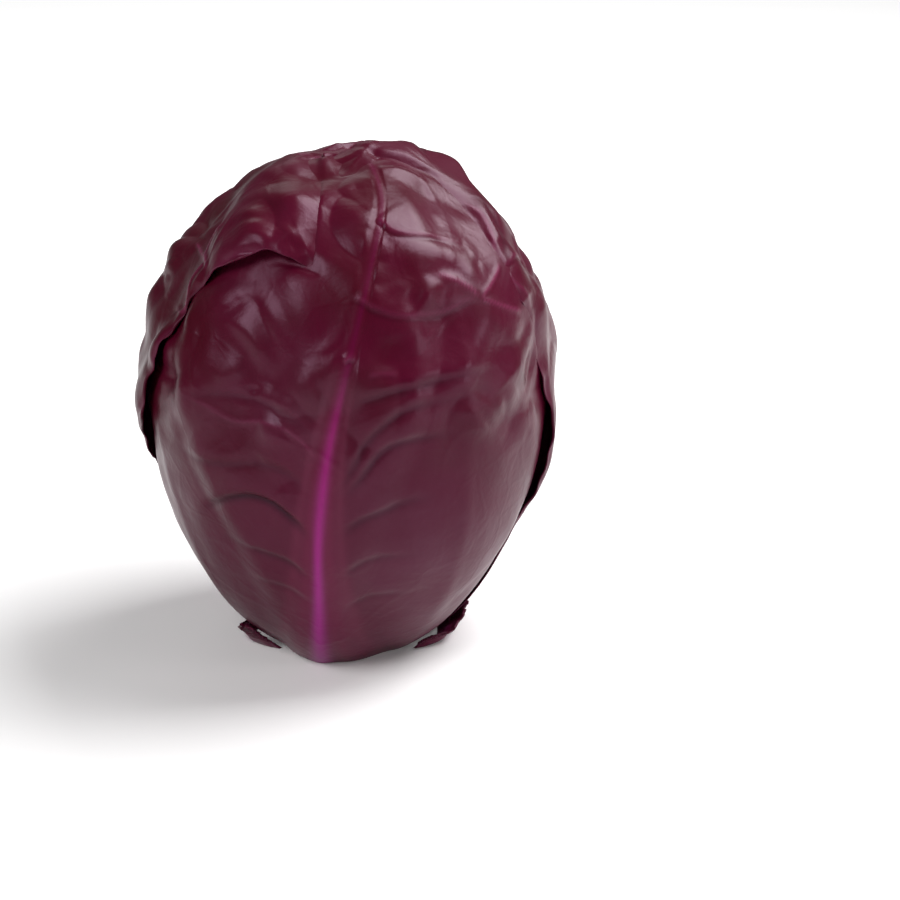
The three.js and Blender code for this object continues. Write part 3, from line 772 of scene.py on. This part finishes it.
def leaf_mesh(leaf, rows, half_columns):
    """Both faces of a leaf as one closed mesh, with its ribs and margin as attributes.

    The radius of each point is the inner face, plus the blade and midrib on the outer side, plus folds,
    less what the margin sinks onto the leaf below.
    """
    u = np.linspace(-1, 1, 2 * half_columns + 1)
    shares = np.sign(u) * (1 - (1 - np.abs(u) ** 1.35) ** 1.15)  # closer at the midrib and the margins
    t, s = np.meshgrid(np.linspace(0, 1, rows), shares, indexing="ij")
    t = torn(t, s) if leaf.name.endswith("stub") else t
    d = leaf.at(t, s * (1 + ragged(t, s)))
    base = leaf.at(0 * t, s)
    from_rib = angle_between(leaf.at(t, 0 * s), d) * MEAN_RADIUS
    from_margin = angle_between(leaf.at(t, np.sign(s + 1e-9)), d) * MEAN_RADIUS
    from_margin = np.minimum(from_margin, (1 - t) * TIP_REACH)
    bare = 1 - leaf.covered(d)
    pressed = leaf.pressing(d) if leaf.pressed else 0 * t
    relief = {key: np.zeros(t.shape) for key in ("height", "vein", "crevice")}
    for stroke in leaf.strokes:
        stroke.add_to(d, relief)
    size = leaf.rib_size(t)
    beside_rib = smoothstep(from_rib, 0.5 * size["mound"], 1.3 * size["mound"])
    folds = relief["height"] + bumps_seen(d, leaf.bumps)
    folds = folds * smoothstep(from_margin, 0, 6) + crinkle(t, s, from_margin) * (1 - pressed)
    folds = folds * bare * smoothstep(t, 0, 0.06)
    folds = folds + pillows(d) * beside_rib * (1 - leaf.covered(d, UNDER_MARGIN))
    thins = smoothstep(from_margin / lerp(*MARGIN_THINS, pressed), 0, 1)
    blade = BLADE * lerp(lerp(*MARGIN_BLADE, pressed), 1, thins)
    loose = np.clip(leaf.lift(d) / FULLY_LOOSE, 0, 1)
    near_margin = 1 - smoothstep(from_margin, 0, MARGIN_HUGS[1])
    hug = lerp(np.exp(-from_margin / MARGIN_HUGS[0]), near_margin, pressed)
    hug = hug * smoothstep(t, 0.1, 0.3) * (1 - loose)

    leaf.make_cut()
    faces = []
    for height, step in ((blade + leaf.rib_height(t, from_rib), 1), (0 * t, 2)):
        cells = np.s_[::step, ::step]
        there = leaf.slide_to_floor(d[cells], t[cells], base[cells], height[cells])
        face, slack = leaf.inner_face(there)
        sunk = (slack + PRESSED_DIP * pressed[cells]) * hug[cells]
        radius = face + height[cells] + folds[cells] - sunk
        point = there * radius[..., None] + np.array([0, 0, RING_HEIGHT])
        point[..., 2] = np.maximum(point[..., 2], 0)
        point[0, :, 2] = 0
        faces.append(point)
    flank = (from_rib - 0.95 * size["mound"]) / (0.22 * size["mound"])
    crest_width = lerp(0.8, 1.3, smoothstep(t, 0.3, 0.45)) * size["keel"]
    attributes = {
        "crest": np.exp(-((from_rib / crest_width) ** 2)) * leaf.ribs,
        "mound": 1 - smoothstep(from_rib, 0.4 * size["mound"], 1.0 * size["mound"]),
        "flank": np.exp(-flank * flank) * leaf.ribs,
        "vein": relief["vein"] * bare,
        "crevice": relief["crevice"] * bare,
        "margin": np.exp(-from_margin / 0.9) * (1 - pressed),
        "along": t,
    }
    return sheet(leaf.name, *faces, attributes)


def quads_of(index):
    """The four corners of each cell of a grid of vertex numbers."""
    a, b, c, e = index[:-1, :-1], index[:-1, 1:], index[1:, 1:], index[1:, :-1]
    return np.stack([a, b, c, e], axis=-1).reshape(-1, 4)


def rim_of(index):
    """The vertex numbers once round a grid."""
    return np.concatenate([index[0, :-1], index[:-1, -1], index[-1, :0:-1], index[:0:-1, 0]])


def sheet(name, outer, inner, attributes):
    """A closed mesh from an outer grid and an inner one half as fine. The rim on the floor is the cut."""
    front = np.arange(outer[..., 0].size).reshape(outer.shape[:2])
    back = np.arange(inner[..., 0].size).reshape(inner.shape[:2]) + front.size
    quads = np.concatenate([quads_of(front), quads_of(back)[:, ::-1]])
    fine, coarse = rim_of(front), rim_of(back)
    wall = np.stack([np.roll(fine, -2)[::2], fine[1::2], fine[::2], coarse, np.roll(coarse, -1)], axis=-1)
    loops = np.concatenate([quads.ravel(), wall.ravel()]).astype(np.int32)
    starts = np.concatenate([np.arange(len(quads)) * 4, quads.size + np.arange(len(wall)) * 5])
    mesh = bpy.data.meshes.new(name)
    points = np.concatenate([outer.reshape(-1, 3), inner.reshape(-1, 3)]) * MM
    mesh.vertices.add(len(points))
    mesh.vertices.foreach_set("co", points.ravel())
    mesh.loops.add(len(loops))
    mesh.loops.foreach_set("vertex_index", loops)
    mesh.polygons.add(len(starts))
    mesh.polygons.foreach_set("loop_start", starts.astype(np.int32))
    cut = np.zeros(len(starts), np.int32)
    cut[len(quads) : len(quads) + inner.shape[1] - 1] = 1
    mesh.polygons.foreach_set("material_index", cut)
    mesh.polygons.foreach_set("use_smooth", np.ones(len(starts), bool))
    for key, values in attributes.items():
        attribute = mesh.attributes.new(key, "FLOAT", "POINT")
        both = np.concatenate([values.ravel(), values[::2, ::2].ravel()])
        attribute.data.foreach_set("value", both.astype(np.float32))
    mesh.update(calc_edges=True)
    mesh.validate()
    piece = bpy.data.objects.new(name + "_detail", mesh)
    bpy.context.collection.objects.link(piece)
    return piece


# Materials.
def to_linear(colour):
    """An sRGB colour written #rrggbb as linear RGBA."""
    parts = np.array([int(colour[i : i + 2], 16) for i in (1, 3, 5)]) / 255
    linear = np.where(parts <= 0.04045, parts / 12.92, ((parts + 0.055) / 1.055) ** 2.4)
    return (*linear.tolist(), 1.0)


def new_material(name):
    """An empty material, and add_node bound to its nodes."""
    material = bpy.data.materials.new(name)
    material.use_nodes = True
    material.node_tree.nodes.clear()
    return material, partial(add_node, material.node_tree)


def add_node(tree, kind, inputs=None, output=0, **settings):
    """Adds a node with its settings, sets or links its inputs, and gives one of its outputs."""
    node = tree.nodes.new("ShaderNode" + kind)
    for key, value in settings.items():
        setattr(node, key, value)
    for key, value in (inputs or {}).items():
        if isinstance(value, bpy.types.NodeSocket):
            tree.links.new(value, node.inputs[key])
        else:
            node.inputs[key].default_value = to_linear(value) if isinstance(value, str) else value
    return node.outputs[output] if node.outputs else node


PER_METRE = 1000.0  # a pattern's scale is this over its size in millimetres
MIX = {"output": 2, "data_type": "RGBA"}
SMOOTH = {"interpolation_type": "SMOOTHSTEP"}


def leaf_material(name, blade, deep, lower):
    """Living red cabbage leaf under its own wax: a dark plum blade, a magenta midrib and a satin gloss."""
    material, add = new_material(name)
    place = add("TexCoord", output="Object")
    height = add("SeparateXYZ", {0: place}, "Z")
    attributes = ("along", "mound", "flank", "vein", "crest", "crevice", "margin")
    along, mound, flank, vein, crest, crevice, margin = (
        add("Attribute", output="Fac", attribute_name=key) for key in attributes
    )

    # The blade turns from plum to a deeper red in clouds of about 35 mm, and is duller near the foot.
    clouds = add("TexNoise", {"Vector": place, "Scale": PER_METRE / 35, "Detail": 4.0})
    cloudy = add("MapRange", {"Value": clouds, "From Min": 0.35, "From Max": 0.7}, **SMOOTH)
    colour = add("Mix", {0: cloudy, 6: blade, 7: deep}, **MIX)
    low = add("MapRange", {"Value": height, "From Min": 0.115, "From Max": 0.045}, **SMOOTH)
    colour = add("Mix", {0: low, 6: colour, 7: lower}, **MIX)

    # The midrib: a red mound, and a magenta keel that fades half way up the leaf.
    upper = add("MapRange", {"Value": along, "From Min": 0.2, "From Max": 0.6}, **SMOOTH)
    mound_colour = add("Mix", {0: upper, 6: "#5f1a36", 7: "#550a26"}, **MIX)
    reach = {"Value": along, "From Min": 0.66, "From Max": 0.5}
    mound_reach = add("MapRange", {**reach, "To Min": 0.2, "To Max": 0.7}, **SMOOTH)
    mound_share = add("Math", {0: mound, 1: mound_reach}, operation="MULTIPLY")
    colour = add("Mix", {0: mound_share, 6: colour, 7: mound_colour}, **MIX)
    flank_reach = add("MapRange", {**reach, "To Min": 0.0, "To Max": 0.2}, **SMOOTH)
    flank_share = add("Math", {0: flank, 1: flank_reach}, operation="MULTIPLY")
    colour = add("Mix", {0: flank_share, 6: colour, 7: "#742c46"}, **MIX)
    keel_colour = add("Mix", {0: upper, 6: "#88246f", 7: "#780850"}, **MIX)
    crest_reach = add("MapRange", {**reach, "To Min": 0.12}, **SMOOTH)
    crest_share = add("Math", {0: crest, 1: crest_reach}, operation="MULTIPLY")
    colour = add("Mix", {0: crest_share, 6: colour, 7: keel_colour}, **MIX)

    # Pale veins and painted glints on creases, painted shade at the feet of the ribs, a little wax bloom,
    # and a pale margin of worn wax and painted glint.
    # Partly painted highlight: the pale crest colour stands for glints on creases as well as for pale veins.
    pale_vein_and_glint_share = add("Math", {0: vein, 1: 0.55}, operation="MULTIPLY")
    colour = add("Mix", {0: pale_vein_and_glint_share, 6: colour, 7: "#7d3454"}, **MIX)
    # Painted shade: near-black colour in the grooves under the ribs.
    painted_groove_shade_share = add("Math", {0: crevice, 1: 0.7}, operation="MULTIPLY")
    colour = add("Mix", {0: painted_groove_shade_share, 6: colour, 7: "#1c020a"}, **MIX)
    bloom = add("TexNoise", {"Vector": place, "Scale": PER_METRE / 55, "Detail": 5.0, "Roughness": 0.6})
    bloom_range = {"Value": bloom, "From Min": 0.45, "From Max": 0.75, "To Max": 0.05}
    colour = add("Mix", {0: add("MapRange", bloom_range, **SMOOTH), 6: colour, 7: "#8a6a80"}, **MIX)
    # Partly painted highlight: the pale margin is worn wax and a painted glint along the edge.
    margin_wear_and_glint_share = add("Math", {0: margin, 1: 0.3}, operation="MULTIPLY")
    colour = add("Mix", {0: margin_wear_and_glint_share, 6: colour, 7: "#6a2c48"}, **MIX)

    # Small veins make cells of 16 and 5 mm, pushed aside by noise, with lumps of 12 mm under them.
    warp = add("TexNoise", {"Vector": place, "Scale": PER_METRE / 25, "Detail": 3.0}, "Color")
    shift = add("VectorMath", {0: warp, 1: (0.012, 0.012, 0.012)}, operation="MULTIPLY")
    warped = add("VectorMath", {0: place, 1: shift}, operation="ADD")
    edge = {"output": "Distance", "feature": "DISTANCE_TO_EDGE"}
    cells = add("TexVoronoi", {"Vector": warped, "Scale": PER_METRE / 16}, **edge)
    fine_cells = add("TexVoronoi", {"Vector": warped, "Scale": PER_METRE / 5}, **edge)
    net = add("MapRange", {"Value": cells, "From Min": 0.1, "From Max": 0.0, "To Max": 0.6}, **SMOOTH)
    fine_range = {"Value": fine_cells, "From Min": 0.16, "From Max": 0.0, "To Max": 0.2}
    fine_net = add("MapRange", fine_range, **SMOOTH)
    veins = add("Math", {0: net, 1: fine_net}, operation="ADD")
    lumps = add("TexNoise", {"Vector": place, "Scale": PER_METRE / 12, "Detail": 3.0})
    normal = add("Bump", {"Height": lumps, "Strength": 0.3, "Distance": 0.0012})
    normal = add("Bump", {"Height": veins, "Strength": 0.12, "Distance": 0.0005, "Normal": normal})
    wax = add("TexNoise", {"Vector": place, "Scale": PER_METRE / 22, "Detail": 4.0})
    rough_range = {"Value": wax, "From Min": 0.3, "From Max": 0.75, "To Min": 0.28, "To Max": 0.4}
    leaf_surface = {
        "Base Color": colour,
        "Roughness": add("MapRange", rough_range, **SMOOTH),
        "Normal": normal,
        "Specular IOR Level": 0.19,
        "Specular Tint": (1.0, 0.7, 0.95, 1.0),
    }
    add("OutputMaterial", {"Surface": add("BsdfPrincipled", leaf_surface)})
    return material


def cut_material(name):
    """Cabbage flesh cut with a knife: moist and pale, with pith and a browner, drier rim."""
    material, add = new_material(name)
    place = add("TexCoord", output="Object")
    flat = add("VectorMath", {0: place, 1: (1.0, 1.0, 0.0)}, operation="MULTIPLY")
    radius = add("VectorMath", {0: flat}, "Value", operation="LENGTH")
    cloud = add("TexNoise", {"Vector": place, "Scale": PER_METRE / 11, "Detail": 4.0})
    cloudy = add("MapRange", {"Value": cloud, "From Min": 0.3, "From Max": 0.7}, **SMOOTH)
    colour = add("Mix", {0: cloudy, 6: "#d9cdc0", 7: "#b9a3a0"}, **MIX)
    rim = add("MapRange", {"Value": radius, "From Min": 0.0165, "From Max": 0.021}, **SMOOTH)
    colour = add("Mix", {0: rim, 6: colour, 7: "#8f6b72"}, **MIX)
    pith = add("TexVoronoi", {"Vector": place, "Scale": PER_METRE / 1.4}, "Distance")
    uneven = add("TexNoise", {"Vector": place, "Scale": PER_METRE / 16, "Detail": 3.0})
    normal = add("Bump", {"Height": pith, "Strength": 0.3, "Distance": 0.0004})
    normal = add("Bump", {"Height": uneven, "Strength": 0.3, "Distance": 0.0015, "Normal": normal})
    cut_surface = {"Base Color": colour, "Roughness": 0.55, "Normal": normal, "Subsurface Weight": 0.08}
    add("OutputMaterial", {"Surface": add("BsdfPrincipled", cut_surface)})
    return material


def paper_material():
    """Matt uncoated paper under studio light: it takes soft shadows, and a painted glow of emission makes it
    white away from the head.
    """
    material, add = new_material("matt_paper")
    far = add("VectorMath", {0: add("TexCoord", output="Object")}, "Value", operation="LENGTH")
    glow_range = {"Value": far, "From Min": 0.12, "From Max": 0.8, "To Min": 0.05, "To Max": 0.72}
    glow = add("MapRange", glow_range, **SMOOTH)
    # Painted light: the glow stands in for the lamps' spill, and glossy rays see only 0.3 of it, so the skin
    # mirrors less of it.
    mirrored = add("LightPath", output="Is Glossy Ray")
    dimmer = add("MapRange", {"Value": mirrored, "To Min": 1.0, "To Max": 0.3})
    paper = {
        "Base Color": "#f4f3f3",
        "Roughness": 0.7,
        "Specular IOR Level": 0.2,
        "Emission Color": (1.0, 1.0, 1.0, 1.0),
        "Emission Strength": add("Math", {0: glow, 1: dimmer}, operation="MULTIPLY"),
    }
    add("OutputMaterial", {"Surface": add("BsdfPrincipled", paper)})
    return material


outer_leaf = leaf_material("waxy_outer_leaf", "#45051d", "#3d0413", "#481125")
inner_leaf = leaf_material("waxy_inner_leaf", "#450925", "#3c071b", "#4d1a30")
cut_flesh = cut_material("cut_flesh")

for leaf in leaves:
    inner = leaf.name.startswith("inner")
    grid = STUB_GRID if leaf.name.endswith("stub") else INNER_GRID if inner else OUTER_GRID
    piece = leaf_mesh(leaf, *grid)
    piece.data.materials.append(inner_leaf if inner else outer_leaf)
    piece.data.materials.append(cut_flesh)
    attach(piece, "root")
    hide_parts(leaf.name)

for node, material in (("stalk", cut_flesh), ("inner_head", inner_leaf)):
    carried = bpy.data.objects[node]
    carried.data.materials.clear()
    carried.data.materials.append(material)


# Floor, light and camera.
def paper_floor(reach=60.0, sides=96):
    """A flat disc of paper, so wide that its edge is never seen."""
    turn = np.arange(sides) * 2 * np.pi / sides
    mesh = bpy.data.meshes.new("floor")
    corners = np.stack([reach * np.cos(turn), reach * np.sin(turn), 0 * turn], axis=-1)
    mesh.from_pydata(corners.tolist(), [], [list(range(sides))])
    mesh.materials.append(paper_material())
    return bpy.data.objects.new("floor", mesh)


floor = paper_floor()
bpy.context.collection.objects.link(floor)

# A dim white room round the lamps.
world = bpy.data.worlds.new("studio")
bpy.context.scene.world = world
world.use_nodes = True
world.node_tree.nodes["Background"].inputs["Color"].default_value = (1.0, 1.0, 1.0, 1.0)
world.node_tree.nodes["Background"].inputs["Strength"].default_value = 0.09


def area_light(name, place, size, power, target=(0.0, 0.0, 0.1)):
    """A flat lamp of a size in metres and a power in watts, turned to its target."""
    light = bpy.data.lights.new(name, "AREA")
    light.shape = "RECTANGLE"
    light.size, light.size_y = size
    light.energy = power
    lamp = bpy.data.objects.new(name, light)
    lamp.visible_camera = False
    bpy.context.collection.objects.link(lamp)
    lamp.location = place
    lamp.rotation_euler = (Vector(target) - Vector(place)).to_track_quat("-Z", "Y").to_euler()
    return lamp


area_light("softbox_right", (0.57, 0.2, 0.9), (0.75, 0.75), 18.5)
area_light("softbox_side", (0.95, -0.38, 0.26), (0.35, 0.4), 2)
area_light("softbox_left", (-0.56, -0.56, 0.76), (0.5, 0.5), 6.5)
area_light("backdrop_light", (-0.15, 1.3, 0.95), (0.6, 0.5), 1)

eye, target = (Vector(place * MM) for place in camera_axes())
camera_data = bpy.data.cameras.new("camera")
camera_data.sensor_width = SENSOR
camera_data.lens = LENS
camera = bpy.data.objects.new("camera", camera_data)
bpy.context.collection.objects.link(camera)
camera.location = eye
camera.rotation_euler = (target - eye).to_track_quat("-Z", "Y").to_euler()
bpy.context.scene.camera = camera
bpy.context.scene.view_settings.view_transform = "Standard"
